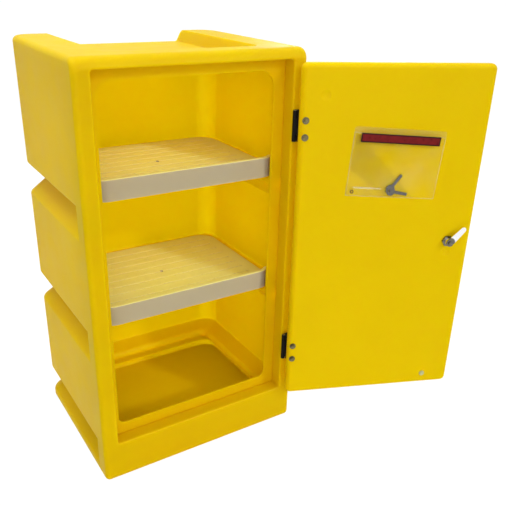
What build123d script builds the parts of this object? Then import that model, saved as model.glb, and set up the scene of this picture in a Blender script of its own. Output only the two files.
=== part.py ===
import os
from math import cos, radians, tan
from build123d import *

# Cabinet shell
cabinet_width = 530.0
cabinet_depth = 450.0
cabinet_height = 980.0
shell_wall = 6.0
back_corner_radius = 50.0
front_lip_radius = 24.0
edge_radius = 12.0
base_radius = 12.0

# Grooves round the left side, back and right side, which are the shelf ridges inside
groove_count = 3
groove_first_height = 24.0
top_panel_height = 295.0
groove_height = 73.0
groove_top_slope = 15.0
groove_bottom_slope = 45.0
groove_front_gap = 45.0
groove_lip_radius = 10.0
groove_apex_radius = 8.0
groove_apex_corner = 14.0

# Recess in the top between the two side rails
rail_width = 87.0
top_recess_depth = 28.0
top_recess_slope = 63.0
front_lip_width = 62.0
top_recess_corner = 20.0
top_recess_radius = 7.0

# Recess for the door and the opening behind it
post_width = 36.0
header_height = 23.0
door_recess_depth = 36.0
door_recess_bottom = 101.0
door_recess_corner = 6.0
door_recess_radius = 4.0
landing_lock_side = 17.0
landing_hinge_side = 29.0
landing_top = 26.0
landing_bottom = 28.0
opening_top_radius = 36.0
opening_bottom_radius = 18.0

# Shelves
shelf_side_gap = 26.0
shelf_back_gap = 40.0
shelf_corner = 45.0
shelf_thickness = 18.0
shelf_skin = 6.0
shelf_skirt = 9.0
shelf_lip_height = 29.0
shelf_lip_thickness = 9.0
shelf_lip_reach = 20.0
shelf_edge_radius = 2.5
shelf_front_gap = 52.0
shelf_rib_pitch = 35.0
shelf_rib_width = 14.0
shelf_rib_height = 1.2
shelf_rib_bevel_share = 0.75
shelf_rib_margin = 30.0
shelf_hole_radius = 4.0

# Door
door_open_angle = 157.5
door_gap = 2.5
door_proud = 0.4
door_nut_room = 8.4
door_corner = 14.0
door_edge_radius = 11.0
door_skin = 5.0
bolt_column_radius = 13.0
lock_column_radius = 24.0
vent_radius = 4.0
vent_cap_radius = 7.5
vent_cap_height = 1.5
vent_from_free_edge = 73.0
vent_from_bottom = 31.0
dimple_radius = 12.0
dimple_depth = 2.5
dimple_from_hinge = 54.0
dimple_from_top = 68.0
dimple_below_lock = 30.0

# Hinges
hinge_names = ("lower", "upper")
lower_hinge_from_bottom = 127.0
upper_hinge_from_top = 142.0
hinge_length = 70.0
door_leaf_width = 26.0
frame_leaf_width = 20.0
hinge_leaf_thickness = 3.0
hinge_leaf_corner = 4.0
hinge_door_knuckle = 34.0
knuckle_radius = 5.0
hinge_pin_radius = 2.5
hinge_pin_head_radius = 4.0
hinge_pin_head_height = 1.6
hinge_pin_from_recess = 3.0
bolt_spacing = 38.0
door_bolt_reach = 17.0
frame_bolt_reach = 12.0
bolt_radius = 3.0
bolt_head_radius = 5.2
bolt_head_height = 2.4
washer_radius = 8.0
frame_washer_radius = 6.4
washer_thickness = 1.4
nut_across_flats = 10.0
nut_height = 4.2
bolt_end = 0.8

# Lock
lock_from_free_edge = 60.0
lock_above_middle = -1.0
lock_barrel_radius = 9.5
lock_flange_radius = 13.0
lock_flange_thickness = 3.0
lock_plug_radius = 6.5
lock_nut_across_flats = 25.0
lock_nut_height = 5.0
cam_rest_angle = 48.0
cam_length = 52.0
cam_hub_radius = 9.5
cam_tip_radius = 7.0
cam_thickness = 2.5
cam_tang = 6.0
cam_screw_radius = 2.0
cam_screw_length = 8.0
cam_screw_head_flats = 8.0
cam_screw_head_height = 4.0
key_slot_width = 2.0
key_slot_height = 8.0
key_slot_depth = 9.0

# Document wallet on the door's inner face, with the spare keys in it
wallet_from_hinge = 233.0
wallet_from_top = 225.5
wallet_tilt = -4.0
wallet_width = 224.0
wallet_height = 164.0
wallet_corner = 5.0
film = 0.6
pocket_height = 152.0
pocket_room = 6.4
pocket_weld = 5.0
strip_width = 193.0
strip_height = 21.0
strip_thickness = 0.4
strip_from_bottom = 141.0
eyelet_radius = 4.5
eyelet_hole_radius = 2.0
eyelet_height = 1.0
eyelet_from_corner = 13.0
key_bow_radius = 10.5
key_bow_hole_radius = 2.6
key_bow_hole_offset = 6.0
key_blade_length = 26.0
key_blade_width = 7.0
key_thickness = 1.4
key_ring_wire = 0.6
key_ring_corner = 1.0
key_ring_reach = 7.5
keys_from_left = 105.0
keys_from_bottom = 17.0
key_angles = (-8.0, 58.0)
key_ring_angle = 193.0

# Fits
seat_gap = 0.3
running_gap = 0.05
thread_gap = 0.05
leaf_gap = 0.4
cut_overrun = 4.0

# Places that several pieces share
groove_pitch = (cabinet_height - top_panel_height - groove_first_height - groove_height) / (groove_count - 1)
front_y = -cabinet_depth / 2
back_y = cabinet_depth / 2
side_x = cabinet_width / 2
shelf_width = cabinet_width - 2 * (shell_wall + shelf_side_gap)
shelf_depth = cabinet_depth - shelf_front_gap - shelf_back_gap
recess_x = side_x - post_width
door_recess_top = cabinet_height - header_height
landing_y = front_y + door_recess_depth
hinge_edge_x = recess_x - door_gap
door_width = 2 * hinge_edge_x
door_bottom = door_recess_bottom + 2 * door_gap
door_top = door_recess_top - door_gap
door_thickness = door_recess_depth + door_proud - door_nut_room
door_outer_y = front_y - door_proud
door_inner_y = door_outer_y + door_thickness
hinge_heights = (door_bottom + lower_hinge_from_bottom, door_top - upper_hinge_from_top)
pin_x = recess_x + hinge_pin_from_recess
pin_y = front_y - knuckle_radius - seat_gap
pin_axis = Axis((pin_x, pin_y, 0), (0, 0, 1))
lock_from_hinge = door_width - lock_from_free_edge
lock_x = hinge_edge_x - lock_from_hinge
lock_height = (door_bottom + door_top) / 2 + lock_above_middle
vent_x = vent_from_free_edge - hinge_edge_x
vent_height = door_bottom + vent_from_bottom
door_bolt_x = pin_x - door_bolt_reach
frame_bolt_x = pin_x + frame_bolt_reach
slope_low = radians(groove_bottom_slope)
slope_up = radians(groove_top_slope)

# Plane of the door's inner face when shut: x runs from the hinge edge, y is height, z points into the cabinet
inner_face = Plane(origin=(hinge_edge_x, door_inner_y, 0), x_dir=(-1, 0, 0), z_dir=(0, 1, 0))
wallet_place = inner_face * Pos(wallet_from_hinge, door_top - wallet_from_top, 0) * Rot(0, 0, wallet_tilt)


def spread(low, high):
    return (low + high) / 2, high - low


def block(x0, x1, y0, y1, z0, z1):
    (x, dx), (y, dy), (z, dz) = spread(x0, x1), spread(y0, y1), spread(z0, z1)
    return Pos(x, y, z) * Box(dx, dy, dz)


def upright(x, y, z0, z1, radius):
    z, height = spread(z0, z1)
    return Pos(x, y, z) * Cylinder(radius, height)


def along_depth(x, z, y0, y1, radius):
    y, length = spread(y0, y1)
    return Pos(x, y, z) * Rot(90, 0, 0) * Cylinder(radius, length)


def hexagon_along_depth(x, z, y0, y1, flats):
    radius = flats / (2 * cos(radians(30)))
    face = Plane(origin=(x, y0, z), x_dir=(1, 0, 0), z_dir=(0, 1, 0)) * RegularPolygon(radius, side_count=6)
    return extrude(face, y1 - y0)


def groove_low(index, inset, depth):
    start = groove_first_height + index * groove_pitch
    return start + depth * tan(slope_low) - inset / cos(slope_low)


def groove_up(index, inset, depth):
    start = groove_first_height + index * groove_pitch + groove_height
    return start - depth * tan(slope_up) + inset / cos(slope_up)


def groove_depth(inset):
    walls = inset / cos(slope_up) + inset / cos(slope_low)
    return (groove_height + walls) / (tan(slope_up) + tan(slope_low))


def moulded_block(inset):
    form = Pos(0, 0, cabinet_height / 2) * Box(
        cabinet_width - 2 * inset, cabinet_depth - 2 * inset, cabinet_height - 2 * inset
    )
    form = fillet(form.edges().filter_by(Axis.Z).sort_by(Axis.Y)[-2:], back_corner_radius - inset)
    top_edges = form.edges().filter_by(Axis.X).group_by(Axis.Z)[-1].sort_by(Axis.Y)
    form = fillet(top_edges[:1], front_lip_radius - inset)
    top_edges = form.edges().filter_by(Axis.X).group_by(Axis.Z)[-1].sort_by(Axis.Y)
    form = fillet(top_edges[-1:], edge_radius - inset)
    base_edges = form.edges().filter_by(Axis.X).group_by(Axis.Z)[0].sort_by(Axis.Y)
    return fillet(base_edges[-1:], base_radius - inset)


def groove_cutter(index, inset):
    deepest = groove_depth(inset)
    mouth = inset - cut_overrun

    def core_outline(depth, height):
        radius = back_corner_radius - depth * (back_corner_radius - groove_apex_corner) / deepest
        y, length = spread(front_y - 2 * back_corner_radius, back_y - depth)
        return Pos(0, y, height) * RectangleRounded(cabinet_width - 2 * depth, length, radius)

    waist = core_outline(deepest, groove_low(index, inset, deepest))
    foot = core_outline(mouth, groove_low(index, inset, mouth))
    head = core_outline(mouth, groove_up(index, inset, mouth))
    ring = block(
        -side_x - cut_overrun, side_x + cut_overrun,
        front_y + groove_front_gap - inset, back_y + cut_overrun,
        groove_low(index, inset, mouth), groove_up(index, inset, mouth),
    )
    return ring - loft([foot, waist], ruled=True) - loft([waist, head], ruled=True)


def level_edges(form, levels):
    chosen = []
    for edge in form.edges():
        box = edge.bounding_box()
        if any(abs(box.min.Z - z) < groove_apex_radius / 2 and abs(box.max.Z - z) < groove_apex_radius / 2
               for z in levels):
            chosen.append(edge)
    return chosen


def grooved_form(inset):
    form = moulded_block(inset)
    for index in range(groove_count):
        form = form - groove_cutter(index, inset)
    deepest = groove_depth(inset)
    apexes = [groove_low(index, inset, deepest) for index in range(groove_count)]
    lips = [groove_low(index, inset, inset) for index in range(groove_count)]
    lips += [groove_up(index, inset, inset) for index in range(groove_count)]
    form = fillet(level_edges(form, apexes), groove_apex_radius + inset)
    return fillet(level_edges(form, lips), groove_lip_radius - inset)


def top_recess_cutter(inset):
    slope = radians(top_recess_slope)
    floor = cabinet_height - top_recess_depth - inset
    crown = cabinet_height + cut_overrun
    run_full = top_recess_depth / tan(slope)
    floor_half = side_x - rail_width - run_full + inset * tan(slope / 2)
    floor_front = front_y + front_lip_width + run_full - inset * tan(slope / 2)
    run = (crown - floor) / tan(slope)

    def outline(grow, height):
        y, length = spread(floor_front - grow, back_y + 2 * back_corner_radius)
        return Pos(0, y, height) * RectangleRounded(2 * (floor_half + grow), length, top_recess_corner)

    cutter = loft([outline(0, floor), outline(run, crown)], ruled=True)
    return fillet(cutter.faces().sort_by(Axis.Z)[0].edges(), top_recess_radius)


def door_recess_cutter(inset):
    x_half = recess_x + inset
    z, height = spread(door_recess_bottom - inset, door_recess_top + inset)
    outline = Plane.XZ.offset(-front_y + cut_overrun) * Pos(0, z) * RectangleRounded(
        2 * x_half, height, door_recess_corner
    )
    return extrude(outline, -(door_recess_depth + inset + cut_overrun))


def opening_cutter():
    x0 = -recess_x + landing_lock_side
    x1 = recess_x - landing_hinge_side
    z0 = door_recess_bottom + landing_bottom
    z1 = door_recess_top - landing_top
    (x, width), (z, height) = spread(x0, x1), spread(z0, z1)
    outline = Plane.XZ.offset(-landing_y + cut_overrun) * Pos(x, z) * Rectangle(width, height)
    corners = outline.vertices().group_by(Axis.Z)
    outline = fillet(corners[-1], opening_top_radius)
    outline = fillet(outline.vertices().group_by(Axis.Z)[0], opening_bottom_radius)
    return extrude(outline, -(shell_wall + 2 * cut_overrun))


def cabinet_body():
    recess = door_recess_cutter(0)
    outer = grooved_form(0) - top_recess_cutter(0) - recess
    rim = [edge for edge in outer.edges().filter_by(GeomType.LINE)
           if abs(edge.center().Y - front_y) < seat_gap and abs(edge.center().X) < recess_x + seat_gap
           and door_recess_bottom - seat_gap < edge.center().Z < door_recess_top - front_lip_radius]
    outer = fillet(rim, door_recess_radius)
    cavity = grooved_form(shell_wall) - top_recess_cutter(shell_wall) - door_recess_cutter(shell_wall)
    body = outer - cavity - opening_cutter()
    for x, z in bolt_places(frame_bolt_x):
        body = body - along_depth(x, z, front_y - cut_overrun, front_y + shell_wall + cut_overrun,
                                  bolt_radius + running_gap)
    return body


def shelf(index):
    base = groove_up(index, shell_wall, side_x - shelf_width / 2) + seat_gap
    front = front_y + shelf_front_gap
    y, depth = spread(front, front + shelf_depth)
    top = base + shelf_thickness
    lip_top = top + shelf_lip_height
    outline = RectangleRounded(shelf_width, depth, shelf_corner)
    inner = RectangleRounded(shelf_width - 2 * shelf_skirt, depth - 2 * shelf_skirt, shelf_corner - shelf_skirt)
    tray = extrude(Pos(0, y, base) * outline, lip_top - base)
    tray = fillet(tray.faces().sort_by(Axis.Z)[-1].edges(), shelf_edge_radius)
    lip_inner = RectangleRounded(
        shelf_width - 2 * shelf_lip_thickness, depth - 2 * shelf_lip_thickness, shelf_corner - shelf_lip_thickness
    )
    tray = tray - extrude(Pos(0, y, top) * lip_inner, shelf_lip_height + cut_overrun)
    tray = tray - block(-shelf_width, shelf_width, front + shelf_lip_reach, front + 2 * depth, top, lip_top + cut_overrun)
    tray = tray - extrude(Pos(0, y, base - cut_overrun) * inner, cut_overrun + shelf_thickness - shelf_skin)
    rib_length = shelf_width - 2 * shelf_rib_margin
    rib_run = depth - shelf_corner - shelf_rib_margin
    for step in range(int(rib_run / shelf_rib_pitch) + 1):
        rib_y = front + shelf_corner + step * shelf_rib_pitch
        rib = Pos(0, rib_y, top + shelf_rib_height / 2) * Box(rib_length, shelf_rib_width, shelf_rib_height)
        rib = chamfer(rib.faces().sort_by(Axis.Z)[-1].edges(), shelf_rib_height * shelf_rib_bevel_share)
        tray = tray + rib
    return tray - upright(0, y, base - cut_overrun, lip_top, shelf_hole_radius)


def swing(piece):
    return piece.rotate(pin_axis, door_open_angle)


def bolt_places(x):
    places = []
    for height in hinge_heights:
        places += [(x, height - bolt_spacing / 2), (x, height + bolt_spacing / 2)]
    return places


def dimple(x, z):
    radius = (dimple_radius ** 2 + dimple_depth ** 2) / (2 * dimple_depth)
    return Pos(x, door_inner_y + radius - dimple_depth, z) * Sphere(radius)


def door_slab(inset, corner):
    x, width = spread(hinge_edge_x - door_width + inset, hinge_edge_x - inset)
    z, height = spread(door_bottom + inset, door_top - inset)
    outline = Plane.XZ.offset(-door_outer_y - inset) * Pos(x, z) * RectangleRounded(width, height, corner)
    return extrude(outline, -(door_thickness - 2 * inset))


def door_panel():
    panel = door_slab(0, door_corner)
    faces = panel.faces().sort_by(Axis.Y)
    panel = fillet(faces[0].edges() + faces[-1].edges(), door_edge_radius)
    void = door_slab(door_skin, door_corner - door_skin)
    columns = [along_depth(x, z, door_outer_y, door_inner_y, bolt_column_radius)
               for x, z in bolt_places(door_bolt_x)]
    columns.append(along_depth(lock_x, lock_height, door_outer_y, door_inner_y, lock_column_radius))
    for column in columns:
        void = void - column
    panel = panel - void
    y0, y1 = door_outer_y - cut_overrun, door_inner_y + cut_overrun
    for x, z in bolt_places(door_bolt_x):
        panel = panel - along_depth(x, z, y0, y1, bolt_radius + running_gap)
    panel = panel - along_depth(lock_x, lock_height, y0, y1, lock_barrel_radius + thread_gap)
    panel = panel - along_depth(vent_x, vent_height, door_inner_y - 2 * door_skin, y1, vent_radius + thread_gap)
    panel = panel - dimple(hinge_edge_x - dimple_from_hinge, door_top - dimple_from_top)
    return panel - dimple(lock_x, lock_height - dimple_below_lock)


def vent_plug():
    cap = along_depth(vent_x, vent_height, door_inner_y, door_inner_y + vent_cap_height, vent_cap_radius)
    cap = fillet(cap.edges().sort_by(Axis.Y)[-1:], vent_cap_height / 2)
    return cap + along_depth(vent_x, vent_height, door_inner_y - door_skin, door_inner_y, vent_radius)


def knuckle(z0, z1):
    return upright(pin_x, pin_y, z0, z1, knuckle_radius)


def leaf_plate(height, end_x, bolt_x, seat_y):
    x, width = spread(pin_x, end_x)
    outline = Plane.XZ.offset(-seat_y) * Pos(x, height) * RectangleRounded(
        abs(width), hinge_length, hinge_leaf_corner
    )
    plate = extrude(outline, hinge_leaf_thickness)
    for bolt_z in (height - bolt_spacing / 2, height + bolt_spacing / 2):
        plate = plate - along_depth(bolt_x, bolt_z, seat_y - 2 * hinge_leaf_thickness,
                                    seat_y + cut_overrun, bolt_radius + running_gap)
    return plate


def hinge_leaf(height, plate, barrels, clearings):
    bottom, top = height - hinge_length / 2, height + hinge_length / 2
    leaf = plate
    clear = knuckle_radius + leaf_gap
    for z0, z1 in clearings:
        leaf = leaf - block(pin_x - clear, pin_x + clear, pin_y - clear, pin_y + 2 * clear, z0, z1)
    for z0, z1 in barrels:
        leaf = leaf + knuckle(z0, z1)
    bore = hinge_pin_radius + running_gap
    return leaf - upright(pin_x, pin_y, bottom - cut_overrun, top + cut_overrun, bore)


def frame_leaf(height):
    half, core = hinge_length / 2, hinge_door_knuckle / 2
    barrels = [(height - half, height - core - leaf_gap), (height + core + leaf_gap, height + half)]
    plate = leaf_plate(height, pin_x + frame_leaf_width, frame_bolt_x, front_y)
    return hinge_leaf(height, plate, barrels, [(height - core - leaf_gap, height + core + leaf_gap)])


def door_leaf(height):
    half, core = hinge_length / 2, hinge_door_knuckle / 2
    outside = [(height - half - cut_overrun, height - core), (height + core, height + half + cut_overrun)]
    plate = leaf_plate(height, pin_x - door_leaf_width, door_bolt_x, door_outer_y)
    return hinge_leaf(height, plate, [(height - core, height + core)], outside)


def hinge_pin(height):
    bottom, top = height - hinge_length / 2, height + hinge_length / 2
    head = upright(pin_x, pin_y, top, top + hinge_pin_head_height, hinge_pin_head_radius)
    head = fillet(head.edges().sort_by(Axis.Z)[-1:], hinge_pin_head_height / 2)
    return head + upright(pin_x, pin_y, bottom, top, hinge_pin_radius)


def bolts(x, seat_y, end_y):
    group = []
    for bolt_x, bolt_z in bolt_places(x):
        head = along_depth(bolt_x, bolt_z, seat_y - bolt_head_height, seat_y, bolt_head_radius)
        head = fillet(head.edges().sort_by(Axis.Y)[:1], bolt_head_height / 2)
        group.append(head + along_depth(bolt_x, bolt_z, seat_y, end_y, bolt_radius))
    return Compound(children=group)


def washers(x, seat_y, radius):
    group = []
    for bolt_x, bolt_z in bolt_places(x):
        ring = along_depth(bolt_x, bolt_z, seat_y, seat_y + washer_thickness, radius)
        group.append(ring - along_depth(bolt_x, bolt_z, seat_y - cut_overrun, seat_y + cut_overrun,
                                        bolt_radius + thread_gap))
    return Compound(children=group)


def nuts(x, seat_y):
    group = []
    for bolt_x, bolt_z in bolt_places(x):
        nut = hexagon_along_depth(bolt_x, bolt_z, seat_y, seat_y + nut_height, nut_across_flats)
        group.append(nut - along_depth(bolt_x, bolt_z, seat_y - cut_overrun, seat_y + 2 * cut_overrun,
                                       bolt_radius + thread_gap))
    return Compound(children=group)


lock_front_y = door_outer_y - lock_flange_thickness
cam_front_y = landing_y + shell_wall + 3 * seat_gap
cam_back_y = cam_front_y + cam_thickness
barrel_back_y = cam_front_y - running_gap


def lock_barrel():
    flange = along_depth(lock_x, lock_height, lock_front_y, door_outer_y, lock_flange_radius)
    flange = fillet(flange.edges().sort_by(Axis.Y)[:1], lock_flange_thickness / 2)
    barrel = flange + along_depth(lock_x, lock_height, door_outer_y, barrel_back_y, lock_barrel_radius)
    return barrel - along_depth(lock_x, lock_height, lock_front_y - cut_overrun, barrel_back_y + cut_overrun,
                                lock_plug_radius + running_gap)


def lock_clamp_nut():
    nut = hexagon_along_depth(lock_x, lock_height, door_inner_y, door_inner_y + lock_nut_height,
                              lock_nut_across_flats)
    return nut - along_depth(lock_x, lock_height, door_inner_y - cut_overrun,
                             door_inner_y + lock_nut_height + cut_overrun, lock_barrel_radius + thread_gap)


def turned(piece):
    return piece.rotate(Axis((lock_x, 0, lock_height), (0, 1, 0)), cam_rest_angle)


def lock_plug():
    plug = along_depth(lock_x, lock_height, lock_front_y, cam_front_y, lock_plug_radius)
    half = cam_tang / 2
    tang = block(lock_x - half, lock_x + half, cam_front_y, cam_back_y, lock_height - half, lock_height + half)
    slot = block(lock_x - key_slot_height / 2, lock_x + key_slot_height / 2, lock_front_y - cut_overrun,
                 lock_front_y + key_slot_depth, lock_height - key_slot_width / 2, lock_height + key_slot_width / 2)
    bore = along_depth(lock_x, lock_height, cam_back_y - cam_screw_length - running_gap, cam_back_y + cut_overrun,
                       cam_screw_radius + thread_gap)
    return turned(plug + tang - slot - bore)


def lock_cam():
    place = Plane(origin=(lock_x, cam_front_y, lock_height), x_dir=(-1, 0, 0), z_dir=(0, 1, 0))
    tip = Pos(cam_length - cam_tip_radius, 0) * Circle(cam_tip_radius)
    outline = make_hull(Circle(cam_hub_radius).edges() + tip.edges())
    hole = Rectangle(cam_tang + 2 * thread_gap, cam_tang + 2 * thread_gap)
    return turned(extrude(place * (outline - hole), cam_thickness))


def lock_cam_screw():
    head = hexagon_along_depth(lock_x, lock_height, cam_back_y, cam_back_y + cam_screw_head_height,
                               cam_screw_head_flats)
    return turned(head + along_depth(lock_x, lock_height, cam_back_y - cam_screw_length, cam_back_y,
                                     cam_screw_radius))


def wallet_backing():
    return extrude(wallet_place * RectangleRounded(wallet_width, wallet_height, wallet_corner), film)


def wallet_pocket():
    low = pocket_height / 2 - wallet_height / 2
    deep = pocket_room + film
    shell = extrude(wallet_place * Pos(0, low, film) * RectangleRounded(
        wallet_width, pocket_height, wallet_corner), deep)
    room = extrude(wallet_place * Pos(0, low + pocket_weld, film - cut_overrun) * Rectangle(
        wallet_width - 2 * pocket_weld, pocket_height), cut_overrun + pocket_room)
    return shell - room


def wallet_strip():
    place = wallet_place * Pos(0, strip_from_bottom - wallet_height / 2, pocket_room + 2 * film)
    return extrude(place * Rectangle(strip_width, strip_height), strip_thickness)


def wallet_eyelet():
    place = wallet_place * Pos(eyelet_from_corner - wallet_width / 2, eyelet_from_corner - wallet_height / 2,
                               pocket_room + 2 * film)
    return extrude(place * (Circle(eyelet_radius) - Circle(eyelet_hole_radius)), eyelet_height)


keys_place = wallet_place * Pos(keys_from_left - wallet_width / 2, keys_from_bottom - wallet_height / 2, film)
ring_low = seat_gap + key_ring_wire
key_base = ring_low + key_ring_wire + seat_gap / 2
key_step = key_thickness + seat_gap / 2
ring_high = key_base + 2 * key_step + key_ring_wire


def key(index):
    bow = Pos(key_bow_hole_offset, 0) * Circle(key_bow_radius)
    blade = Pos(key_bow_hole_offset + key_bow_radius + key_blade_length / 2, 0) * Rectangle(
        key_blade_length + key_bow_radius, key_blade_width)
    outline = bow + blade - Circle(key_bow_hole_radius)
    place = keys_place * Pos(0, 0, key_base + index * key_step) * Rot(0, 0, key_angles[index])
    return extrude(place * outline, key_thickness)


def key_ring():
    place = keys_place * Rot(0, 0, key_ring_angle)
    points = [place * Pos(x, 0, z) for x, z in
              ((0, ring_low), (key_ring_reach, ring_low), (key_ring_reach, ring_high), (0, ring_high))]
    path = FilletPolyline(*[point.position for point in points], radius=key_ring_corner, close=True)
    start = path ^ 0
    return sweep(Plane(origin=start.position, z_dir=(path % 0)) * Circle(key_ring_wire), path=path)


nodes = {"cabinet_body": cabinet_body()}
for index, name in ((2, "upper"), (1, "lower")):
    nodes["shelf_" + name] = shelf(index)
nodes["door_panel"] = swing(door_panel())
nodes["door_vent_plug"] = swing(vent_plug())
for height, name in zip(hinge_heights, hinge_names):
    nodes["hinge_" + name + "_frame_leaf"] = frame_leaf(height)
    nodes["hinge_" + name + "_door_leaf"] = swing(door_leaf(height))
    nodes["hinge_" + name + "_pin"] = hinge_pin(height)
stack = washer_thickness + nut_height + bolt_end
nodes["hinge_door_bolts"] = swing(bolts(door_bolt_x, door_outer_y - hinge_leaf_thickness, door_inner_y + stack))
nodes["hinge_door_washers"] = swing(washers(door_bolt_x, door_inner_y, washer_radius))
nodes["hinge_door_nuts"] = swing(nuts(door_bolt_x, door_inner_y + washer_thickness))
nodes["hinge_frame_bolts"] = bolts(frame_bolt_x, front_y - hinge_leaf_thickness, front_y + shell_wall + stack)
nodes["hinge_frame_washers"] = washers(frame_bolt_x, front_y + shell_wall, frame_washer_radius)
nodes["hinge_frame_nuts"] = nuts(frame_bolt_x, front_y + shell_wall + washer_thickness)
nodes["lock_barrel"] = swing(lock_barrel())
nodes["lock_clamp_nut"] = swing(lock_clamp_nut())
nodes["lock_plug"] = swing(lock_plug())
nodes["lock_cam"] = swing(lock_cam())
nodes["lock_cam_screw"] = swing(lock_cam_screw())
nodes["wallet_backing"] = swing(wallet_backing())
nodes["wallet_pocket"] = swing(wallet_pocket())
nodes["wallet_strip"] = swing(wallet_strip())
nodes["wallet_eyelet"] = swing(wallet_eyelet())
nodes["key_one"] = swing(key(0))
nodes["key_two"] = swing(key(1))
nodes["key_ring"] = swing(key_ring())

os.makedirs("parts", exist_ok=True)
for name, piece in nodes.items():
    export_step(piece, "parts/" + name + ".step")
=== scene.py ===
from math import cos, radians, sin

import bmesh
import bpy
from mathutils import Matrix, Vector


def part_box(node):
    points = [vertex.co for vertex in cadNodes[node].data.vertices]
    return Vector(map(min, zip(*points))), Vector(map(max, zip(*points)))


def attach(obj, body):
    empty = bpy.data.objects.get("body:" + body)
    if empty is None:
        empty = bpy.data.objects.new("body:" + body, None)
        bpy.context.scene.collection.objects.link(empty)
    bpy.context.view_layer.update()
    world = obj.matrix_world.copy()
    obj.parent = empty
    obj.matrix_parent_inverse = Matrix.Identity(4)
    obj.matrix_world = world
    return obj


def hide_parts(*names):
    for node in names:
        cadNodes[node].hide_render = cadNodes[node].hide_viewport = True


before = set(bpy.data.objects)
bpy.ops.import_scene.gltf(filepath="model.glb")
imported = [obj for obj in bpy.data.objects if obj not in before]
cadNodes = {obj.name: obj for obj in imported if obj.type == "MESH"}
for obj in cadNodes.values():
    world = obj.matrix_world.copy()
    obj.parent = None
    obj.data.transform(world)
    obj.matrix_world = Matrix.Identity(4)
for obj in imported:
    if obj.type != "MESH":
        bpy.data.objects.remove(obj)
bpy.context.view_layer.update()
print("frame loaded:", len(cadNodes), "solids to dress")


# shared helpers for the materials

noiseLook = {
    "detail": 3.0,
    "bumpDetail": 2.0,
    "colourSpan": (0.32, 0.68),  # where the noise gives the low colour, and where the high one
    "valueSpan": (0.3, 0.7),
}


def newMaterial(name, settings):
    material = bpy.data.materials.new(name)
    material.use_nodes = True
    nodes, links = material.node_tree.nodes, material.node_tree.links
    shader = nodes["Principled BSDF"]
    for socket, value in settings.items():
        shader.inputs[socket].default_value = value
    return material, nodes, links, shader


def addNoise(nodes, links, scale, detail=noiseLook["detail"], stretch=(1, 1, 1)):
    place = nodes.new("ShaderNodeTexCoord")
    mapping = nodes.new("ShaderNodeMapping")
    mapping.inputs["Scale"].default_value = stretch
    noise = nodes.new("ShaderNodeTexNoise")
    noise.inputs["Scale"].default_value = scale
    noise.inputs["Detail"].default_value = detail
    links.new(place.outputs["Object"], mapping.inputs["Vector"])
    links.new(mapping.outputs["Vector"], noise.inputs["Vector"])
    return noise.outputs["Fac"]


def addMath(nodes, links, operation, *values):
    step = nodes.new("ShaderNodeMath")
    step.operation = operation
    for socket, value in zip(step.inputs, values):
        if isinstance(value, float):
            socket.default_value = value
        else:
            links.new(value, socket)
    return step.outputs[0]


def addRange(nodes, links, value, span=(0.0, 1.0), result=(0.0, 1.0)):
    spread = nodes.new("ShaderNodeMapRange")
    for socket, limit in zip(("From Min", "From Max", "To Min", "To Max"), (*span, *result)):
        spread.inputs[socket].default_value = limit
    links.new(value, spread.inputs["Value"])
    return spread.outputs["Result"]


def blendValues(nodes, links, factor, low, high):
    return addRange(nodes, links, factor, noiseLook["valueSpan"], (low, high))


def blendColours(nodes, links, factor, low, high):
    ramp = nodes.new("ShaderNodeValToRGB")
    for stop, position, colour in zip(ramp.color_ramp.elements, noiseLook["colourSpan"], (low, high)):
        stop.position = position
        stop.color = (*colour, 1)
    links.new(factor, ramp.inputs["Fac"])
    return ramp.outputs["Color"]


def addBump(nodes, links, shader, *layers):
    below = None
    for scale, strength, distance in layers:
        bump = nodes.new("ShaderNodeBump")
        bump.inputs["Strength"].default_value = strength
        bump.inputs["Distance"].default_value = distance
        links.new(addNoise(nodes, links, scale, noiseLook["bumpDetail"]), bump.inputs["Height"])
        if below:
            links.new(below, bump.inputs["Normal"])
        below = bump.outputs["Normal"]
    links.new(below, shader.inputs["Normal"])


def dress(material, *names):
    for name in names:
        mesh = cadNodes[name].data
        mesh.materials.clear()
        mesh.materials.append(material)


# moulded polyethylene: cloudy colour, long soft waves and a fine skin

polyShader = {"IOR": 1.5, "Specular IOR Level": 0.04, "Subsurface Weight": 1.0}
mouldedYellow = {
    "pale": (0.82, 0.5, 0.002),
    "deep": (0.78, 0.465, 0.002),
    "clouds": (5.0, 5.0),  # scale and detail
    "patches": 20.0,
    "roughness": (0.4, 0.5),
    "waves": [(9.0, 0.1, 0.01), (260.0, 0.06, 0.0006)],  # scale, strength and depth of each
    "glow": {"Subsurface Radius": (0.84, 1.0, 0.02), "Subsurface Scale": 0.03},
}
doorYellow = {  # paler than the cabinet yellow, with two skins that pass less light
    **mouldedYellow,
    "pale": (0.8, 0.575, 0.002),
    "deep": (0.77, 0.545, 0.002),
    "glow": {"Subsurface Radius": (0.8, 1.0, 0.02), "Subsurface Scale": 0.003},
}
naturalPlug = {
    "pale": (0.97, 0.9, 0.3),
    "deep": (0.95, 0.87, 0.26),
    "clouds": (7.0, 5.0),
    "patches": 28.0,
    "roughness": (0.4, 0.52),
    "waves": [(12.0, 0.1, 0.008), (300.0, 0.06, 0.0006)],
    "glow": {"Subsurface Radius": (1.0, 0.95, 0.6), "Subsurface Scale": 0.02},
}
naturalTray = {  # the same plastic, with painted shade: lips and sides greyed darker than the tops
    **naturalPlug,
    "paintedSideShade": {"colour": (0.47, 0.41, 0.27), "facing": (0.25, 0.85)},
}


# painted shade: faces that don't look up get a darker grey colour, standing in for the shade on the lips
# and sides
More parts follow.
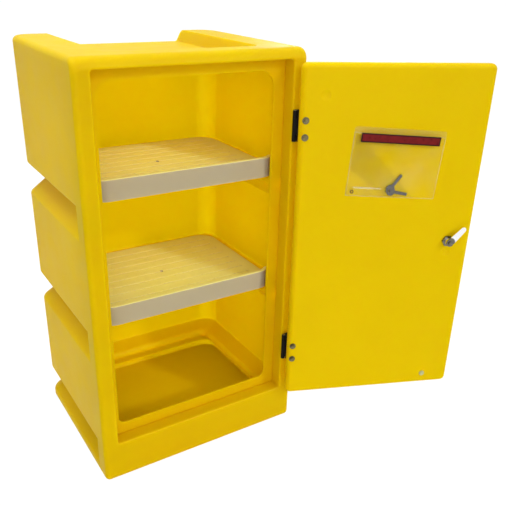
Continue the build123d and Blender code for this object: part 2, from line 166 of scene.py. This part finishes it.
def paintSideShade(nodes, links, upColour, paintedSideShade):
    facing = nodes.new("ShaderNodeNewGeometry")
    parts = nodes.new("ShaderNodeSeparateXYZ")
    links.new(facing.outputs["Normal"], parts.inputs["Vector"])
    level = addRange(nodes, links, parts.outputs["Z"], paintedSideShade["facing"])  # 1 where a face looks up
    mix = nodes.new("ShaderNodeMix")
    mix.data_type = "RGBA"
    mix.inputs["A"].default_value = (*paintedSideShade["colour"], 1)
    links.new(level, mix.inputs["Factor"])
    links.new(upColour, mix.inputs["B"])
    return mix.outputs["Result"]


def mouldedPlastic(name, look):
    material, nodes, links, shader = newMaterial(name, {**polyShader, **look["glow"]})
    clouds = addNoise(nodes, links, *look["clouds"])
    colour = blendColours(nodes, links, clouds, look["deep"], look["pale"])
    # painted shade on the faces that don't look up
    if "paintedSideShade" in look:
        colour = paintSideShade(nodes, links, colour, look["paintedSideShade"])
    links.new(colour, shader.inputs["Base Color"])
    patches = addNoise(nodes, links, look["patches"])
    links.new(blendValues(nodes, links, patches, *look["roughness"]), shader.inputs["Roughness"])
    addBump(nodes, links, shader, *look["waves"])
    return material


dress(mouldedPlastic("yellowSkin", mouldedYellow), "cabinet_body")
dress(mouldedPlastic("doorSkin", doorYellow), "door_panel")
dress(mouldedPlastic("traySkin", naturalTray), "shelf_upper", "shelf_lower")
dress(mouldedPlastic("plugSkin", naturalPlug), "door_vent_plug")
print("moulded plastic dressed")


# metals: hinges, fasteners, lock and keys

metalLooks = {
    "hingePaint": {"shader": {"Metallic": 0.0, "Specular IOR Level": 0.1}, "roughness": (0.5, 0.66),
                   "low": (0.004, 0.004, 0.004), "high": (0.009, 0.008, 0.007),
                   "scale": 160.0, "stretch": (1, 1, 1)},
    "zincPlate": {"shader": {"Metallic": 1.0}, "roughness": (0.26, 0.42),
                  "low": (0.13, 0.11, 0.05), "high": (0.24, 0.205, 0.11),
                  "scale": 220.0, "stretch": (1, 1, 3)},
    "lockNut": {"shader": {"Metallic": 1.0}, "roughness": (0.2, 0.36),
                "low": (0.13, 0.12, 0.1), "high": (0.24, 0.23, 0.2),
                "scale": 200.0, "stretch": (1, 1, 2)},
    "lockChrome": {"shader": {"Metallic": 1.0}, "roughness": (0.16, 0.28),
                   "low": (0.72, 0.72, 0.72), "high": (0.86, 0.86, 0.86),
                   "scale": 180.0, "stretch": (1, 1, 2)},
    "keySteel": {"shader": {"Metallic": 1.0}, "roughness": (0.3, 0.46),
                 "low": (0.072, 0.069, 0.072), "high": (0.15, 0.145, 0.15),
                 "scale": 260.0, "stretch": (4, 4, 1)},
    "eyeletBrass": {"shader": {"Metallic": 1.0}, "roughness": (0.22, 0.36),
                    "low": (0.17, 0.095, 0.025), "high": (0.29, 0.175, 0.05),
                    "scale": 300.0, "stretch": (1, 1, 1)},
}
camLook = {
    "shader": {"Metallic": 1.0},
    "roughness": (0.16, 0.28),
    "dull": (0.16, 0.15, 0.12),
    "bright": (0.86, 0.86, 0.86),
    "screwToTip": (0.011, 0.017),  # distances from the middle of the screw; the cam is darker near the screw and bright towards the tip
    "scale": 180.0,
    "stretch": (1, 1, 2),
}
metalGrain = {"detail": 4.0, "pitsFiner": 3, "pitStrength": 0.08, "pitDepth": 0.0002}


def addGrain(nodes, links, shader, look):
    grain = addNoise(nodes, links, look["scale"], metalGrain["detail"], look["stretch"])
    links.new(blendValues(nodes, links, grain, *look["roughness"]), shader.inputs["Roughness"])
    pitScale = look["scale"] * metalGrain["pitsFiner"]
    addBump(nodes, links, shader, (pitScale, metalGrain["pitStrength"], metalGrain["pitDepth"]))
    return grain


def metal(name):
    look = metalLooks[name]
    material, nodes, links, shader = newMaterial(name, look["shader"])
    grain = addGrain(nodes, links, shader, look)
    colour = blendColours(nodes, links, grain, look["low"], look["high"])
    links.new(colour, shader.inputs["Base Color"])
    return material


def camMaterial():
    material, nodes, links, shader = newMaterial("camPlate", camLook["shader"])
    addGrain(nodes, links, shader, camLook)
    low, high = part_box("lock_cam_screw")
    spot = nodes.new("ShaderNodeTexCoord")
    reach = nodes.new("ShaderNodeVectorMath")
    reach.operation = "DISTANCE"
    reach.inputs[1].default_value = (Vector(low) + Vector(high)) / 2
    links.new(spot.outputs["Object"], reach.inputs[0])
    # the cam is darker near the screw and bright towards the tip
    screwToTip = addRange(nodes, links, reach.outputs["Value"], camLook["screwToTip"])
    colour = blendColours(nodes, links, screwToTip, camLook["dull"], camLook["bright"])  # bright at the tip
    links.new(colour, shader.inputs["Base Color"])
    return material


hingeNodes = [name for name in cadNodes if name.startswith("hinge_")]
dress(metal("hingePaint"), *[name for name in hingeNodes if name.endswith("_leaf")])
dress(metal("zincPlate"), *[name for name in hingeNodes if not name.endswith("_leaf")])
dress(metal("lockNut"), "lock_clamp_nut", "lock_cam_screw")
dress(metal("lockChrome"), "lock_barrel", "lock_plug")
dress(camMaterial(), "lock_cam")
dress(metal("keySteel"), "key_ring", "key_one", "key_two")
dress(metal("eyeletBrass"), "wallet_eyelet")
print("metals dressed")


# document wallet: a clear film pocket with soft shoulders over the keys, and a red strip

doorFace = {
    "pin": (0.232, -0.2303),
    "openAngle": 157.5,
    "hingeEdge": 0.2265,  # this and the next with the door shut
    "innerFace": -0.1974,
}
pocketFilm = {
    "middle": (0.233, 0.729),  # from the door's hinge edge and from the floor
    "tilt": -4.0,
    "width": 0.224,
    "bottom": -0.082,
    "top": 0.07,
    "low": 0.0008,  # above the door's inner face, at the welds
    "high": 0.0074,
    "shoulder": 0.016,
    "thickness": 0.00025,
    "sharpAngle": 60.0,
    "cells": (56, 38),
}
filmLook = {
    "shader": {"IOR": 1.45},
    "tint": (0.86, 0.72, 0.3),
    "hazy": (0.95, 0.9, 0.66),
    "haze": (28.0, 4.0),  # scale and detail
    "clouds": (11.0, 2.0),
    "cloudAlpha": (0.0, 0.034),
    "weldAlpha": 0.076,
    "weldInside": (0.1095, 0.0735),
    # the fold is a hazier stripe on the film: partly a real fold, partly a painted highlight along it
    "foldHighlightAlpha": 0.32,
    "foldHighlightMiddle": (-0.062, -0.06),
    "foldHighlightHalves": (0.034, 0.0011),
    "roughness": (0.1, 0.26),
    "ripples": (60.0, 0.25, 0.002),  # scale, strength and depth
}
redStrip = {
    "shader": {"IOR": 1.48, "Specular IOR Level": 0.15},
    "low": (0.13, 0.005, 0.005),
    "high": (0.19, 0.007, 0.007),
    "ink": (120.0, 4.0),
    "border": (0.03, 0.003, 0.003),
    "middle": (0, 0.059),
    "inside": (0.0935, 0.0075),
    "roughness": (0.25, 0.4),
    "ripples": (140.0, 0.1, 0.0004),
}


def doorPlace():
    turn = radians(doorFace["openAngle"])
    across = Vector((-cos(turn), -sin(turn), 0))
    outward = Vector((-sin(turn), cos(turn), 0))
    pin = Vector((*doorFace["pin"], 0))
    start = pin - across * (doorFace["hingeEdge"] - pin.x) + outward * (doorFace["innerFace"] - pin.y)
    place = Matrix((across, Vector((0, 0, 1)), outward)).transposed().to_4x4()
    place.translation = start
    return place


def walletPlace(spot=(0, 0)):
    middle = Matrix.Translation((*pocketFilm["middle"], 0))
    tilt = Matrix.Rotation(radians(pocketFilm["tilt"]), 4, "Z")
    return doorPlace() @ middle @ tilt @ Matrix.Translation((*spot, 0))


def smooth(distance):
    share = min(max(distance / pocketFilm["shoulder"], 0), 1)
    return share * share * (3 - 2 * share)


def makeWalletFilm():
    place = walletPlace()
    half = pocketFilm["width"] / 2
    bottom, tall = pocketFilm["bottom"], pocketFilm["top"] - pocketFilm["bottom"]
    columns, rows = pocketFilm["cells"]
    shape = bmesh.new()
    bmesh.ops.create_grid(shape, x_segments=columns, y_segments=rows, size=1)  # from -1 to 1 both ways
    for corner in shape.verts:
        across = half * corner.co.x
        height = bottom + tall * (corner.co.y + 1) / 2
        lift = smooth(half - abs(across)) * smooth(height - bottom)
        rise = pocketFilm["low"] + (pocketFilm["high"] - pocketFilm["low"]) * lift
        corner.co = place @ Vector((across, height, rise))
    shape.normal_update()
    bmesh.ops.solidify(shape, geom=shape.faces[:], thickness=pocketFilm["thickness"])
    shape.normal_update()
    for face in shape.faces:
        face.smooth = True
    for edge in shape.edges:
        edge.smooth = edge.calc_face_angle() < radians(pocketFilm["sharpAngle"])
    mesh = bpy.data.meshes.new("walletFilm")
    shape.to_mesh(mesh)
    shape.free()
    film = bpy.data.objects.new("walletFilm", mesh)
    bpy.context.scene.collection.objects.link(film)
    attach(film, "door")
    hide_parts("wallet_pocket")
    return film


def outsideFrame(nodes, links, place, halves):
    spot = nodes.new("ShaderNodeTexCoord")
    mapping = nodes.new("ShaderNodeMapping")
    mapping.vector_type = "TEXTURE"
    mapping.inputs["Location"].default_value = place.translation
    mapping.inputs["Rotation"].default_value = place.to_euler()
    parts = nodes.new("ShaderNodeSeparateXYZ")
    links.new(spot.outputs["Object"], mapping.inputs["Vector"])
    links.new(mapping.outputs["Vector"], parts.inputs["Vector"])
    past = []
    for axis, half in zip(("X", "Y"), halves):
        far = addMath(nodes, links, "ABSOLUTE", parts.outputs[axis])
        past.append(addMath(nodes, links, "GREATER_THAN", far, half))
    return addMath(nodes, links, "MAXIMUM", *past)


def filmMaterial():
    material, nodes, links, shader = newMaterial("clearFilm", filmLook["shader"])
    haze = addNoise(nodes, links, *filmLook["haze"])
    colour = blendColours(nodes, links, haze, filmLook["tint"], filmLook["hazy"])
    links.new(colour, shader.inputs["Base Color"])
    links.new(blendValues(nodes, links, haze, *filmLook["roughness"]), shader.inputs["Roughness"])
    clouds = addNoise(nodes, links, *filmLook["clouds"])
    alpha = blendValues(nodes, links, clouds, *filmLook["cloudAlpha"])
    pocket = walletPlace((0, (pocketFilm["bottom"] + pocketFilm["top"]) / 2))
    weld = outsideFrame(nodes, links, pocket, filmLook["weldInside"])
    # painted highlight: a hazier pale stripe along the fold
    clearOfFoldHighlight = outsideFrame(nodes, links, walletPlace(filmLook["foldHighlightMiddle"]), filmLook["foldHighlightHalves"])
    for mask, limits in ((weld, (0.0, filmLook["weldAlpha"])), (clearOfFoldHighlight, (filmLook["foldHighlightAlpha"], 0.0))):
        line = addRange(nodes, links, mask, result=limits)
        alpha = addMath(nodes, links, "MAXIMUM", alpha, line)
    links.new(alpha, shader.inputs["Alpha"])
    addBump(nodes, links, shader, filmLook["ripples"])
    return material


def stripMaterial():
    material, nodes, links, shader = newMaterial("redStrip", redStrip["shader"])
    ink = addNoise(nodes, links, *redStrip["ink"])
    border = nodes.new("ShaderNodeMix")
    border.data_type = "RGBA"
    border.inputs["B"].default_value = (*redStrip["border"], 1)
    outside = outsideFrame(nodes, links, walletPlace(redStrip["middle"]), redStrip["inside"])
    links.new(outside, border.inputs["Factor"])
    links.new(blendColours(nodes, links, ink, redStrip["low"], redStrip["high"]), border.inputs["A"])
    links.new(border.outputs["Result"], shader.inputs["Base Color"])
    links.new(blendValues(nodes, links, ink, *redStrip["roughness"]), shader.inputs["Roughness"])
    addBump(nodes, links, shader, redStrip["ripples"])
    return material


clearFilm = filmMaterial()
makeWalletFilm().data.materials.append(clearFilm)
dress(clearFilm, "wallet_backing")
dress(stripMaterial(), "wallet_strip")
print("wallet dressed")


# floor, light and camera

studio = {
    "floorSize": 80.0,
    "floorColour": (0.88, 0.88, 0.88),
    "floorShade": 0.985,
    "floorGrain": 30.0,
    "floorRoughness": 0.9,
    "floorWhite": 0.85,  # the share of plain white; the rest keeps the shadow
    "floorGlow": 1.13,
    "background": 1.0,
    "ambient": 0.36,
}


def seenDirectly(nodes, links):
    path = nodes.new("ShaderNodeLightPath")
    total = path.outputs["Is Camera Ray"]
    for ray in ("Is Glossy Ray", "Is Transmission Ray"):
        total = addMath(nodes, links, "MAXIMUM", total, path.outputs[ray])
    return total


def makeFloor():
    mesh = bpy.data.meshes.new("floor")
    shape = bmesh.new()
    bmesh.ops.create_grid(shape, x_segments=1, y_segments=1, size=studio["floorSize"] / 2)
    shape.to_mesh(mesh)
    shape.free()
    floor = bpy.data.objects.new("floor", mesh)
    bpy.context.scene.collection.objects.link(floor)
    material, nodes, links, shader = newMaterial("floorPaper", {"Roughness": studio["floorRoughness"]})
    grain = addNoise(nodes, links, studio["floorGrain"])
    dark = tuple(studio["floorShade"] * part for part in studio["floorColour"])
    colour = blendColours(nodes, links, grain, dark, studio["floorColour"])
    links.new(colour, shader.inputs["Base Color"])
    white = nodes.new("ShaderNodeEmission")
    white.inputs["Strength"].default_value = studio["floorGlow"]
    share = addMath(nodes, links, "MULTIPLY", seenDirectly(nodes, links), studio["floorWhite"])
    mix = nodes.new("ShaderNodeMixShader")
    links.new(share, mix.inputs["Fac"])
    links.new(shader.outputs["BSDF"], mix.inputs[1])
    links.new(white.outputs["Emission"], mix.inputs[2])
    links.new(mix.outputs["Shader"], nodes["Material Output"].inputs["Surface"])
    mesh.materials.append(material)


def makeWorld():
    world = bpy.data.worlds.new("studio")
    world.use_nodes = True
    bpy.context.scene.world = world
    nodes, links = world.node_tree.nodes, world.node_tree.links
    limits = (studio["ambient"], studio["background"])
    strength = addRange(nodes, links, seenDirectly(nodes, links), result=limits)
    nodes["Background"].inputs["Color"].default_value = (1, 1, 1, 1)
    links.new(strength, nodes["Background"].inputs["Strength"])


lamps = [
    {"name": "overhead", "place": (-0.6, 0.1, 3.1), "aim": (0, 0, 0.5), "size": 1.6, "power": 36},
    {"name": "ceiling", "place": (-0.9, -1.9, 3.1), "aim": (0, 0, 0.5), "size": 2.0, "power": 12},
    {"name": "softbox", "place": (-1.5, -3.4, 1.6), "aim": (0.1, 0, 0.5), "size": 2.2, "power": 30},
    {"name": "rear", "place": (2.3, 2.0, 0.8), "aim": (0.2, 0, 0.5), "size": 1.5, "power": 52},
]
windowLight = {"towards": (-0.43, 1.0, -0.62), "softness": 4.0, "strength": 0.85}

# the walls pass light into the bays, but the renderer drops it after one bounce,
# so three faint fills stand for it
bayFills = [
    {"name": "upperBay", "place": (0.0, 0.03, 0.915), "aim": (0.0, 0.03, 0), "size": 0.3, "power": 0.25,
     "colour": (1.0, 0.76, 0.14)},
    {"name": "lowerBay", "place": (0.0, -0.1, 0.19), "aim": (0.06, 0.2, 0.27), "size": 0.2, "power": 0.24,
     "colour": (0.96, 0.84, 0.14)},
    {"name": "middleBay", "place": (0.0, 0.03, 0.655), "aim": (0.0, 0.03, 0), "size": 0.3, "power": 0.25,
     "colour": (1.0, 0.76, 0.14)},
]


def addLamp(name, kind, power, direction):
    light = bpy.data.lights.new(name, kind)
    light.energy = power
    lamp = bpy.data.objects.new(name, light)
    bpy.context.scene.collection.objects.link(lamp)
    lamp.rotation_euler = direction.to_track_quat("-Z", "Y").to_euler()
    return lamp


def makeAreaLamp(look):
    direction = Vector(look["aim"]) - Vector(look["place"])
    lamp = addLamp(look["name"], "AREA", look["power"], direction)
    lamp.location = look["place"]
    lamp.data.size = look["size"]
    return lamp


def makeBayFill(look):
    fill = makeAreaLamp(look)
    fill.data.color = look["colour"]
    fill.visible_camera = False


def makeWindowLight():
    window = addLamp("window", "SUN", windowLight["strength"], Vector(windowLight["towards"]))
    window.data.angle = radians(windowLight["softness"])


photoView = {
    "place": (-0.6385, -1.4246, 1.1377),
    "azimuth": -33.462,
    "elevation": 24.749,
    "roll": 1.842,
    "focalPixels": 654.3,
    "middlePixel": (259.9, 268.0),
    "imagePixels": 506,
    "sensorWidth": 36.0,
    "clip": (0.05, 60.0),
}


def makeCamera():
    camera = bpy.data.cameras.new("photoCamera")
    camera.sensor_width = photoView["sensorWidth"]
    camera.lens = camera.sensor_width * photoView["focalPixels"] / photoView["imagePixels"]
    half = photoView["imagePixels"] / 2
    camera.shift_x = (half - photoView["middlePixel"][0]) / photoView["imagePixels"]
    camera.shift_y = (photoView["middlePixel"][1] - half) / photoView["imagePixels"]
    camera.clip_start, camera.clip_end = photoView["clip"]
    around, lift, roll = (radians(photoView[key]) for key in ("azimuth", "elevation", "roll"))
    forward = Vector((-sin(around) * cos(lift), cos(around) * cos(lift), -sin(lift)))
    right = forward.cross(Vector((0, 0, 1))).normalized()
    up = right.cross(forward)
    right, up = cos(roll) * right + sin(roll) * up, cos(roll) * up - sin(roll) * right
    place = Matrix((right, up, -forward)).transposed().to_4x4()
    place.translation = photoView["place"]
    holder = bpy.data.objects.new("photoCamera", camera)
    holder.matrix_world = place
    bpy.context.scene.collection.objects.link(holder)
    bpy.context.scene.camera = holder


makeFloor()
makeWorld()
for lampLook in lamps:
    makeAreaLamp(lampLook).data.shape = "DISK"
for fillLook in bayFills:
    makeBayFill(fillLook)
makeWindowLight()
makeCamera()
bpy.context.scene.view_settings.view_transform = "Standard"
print("floor, light and camera set")
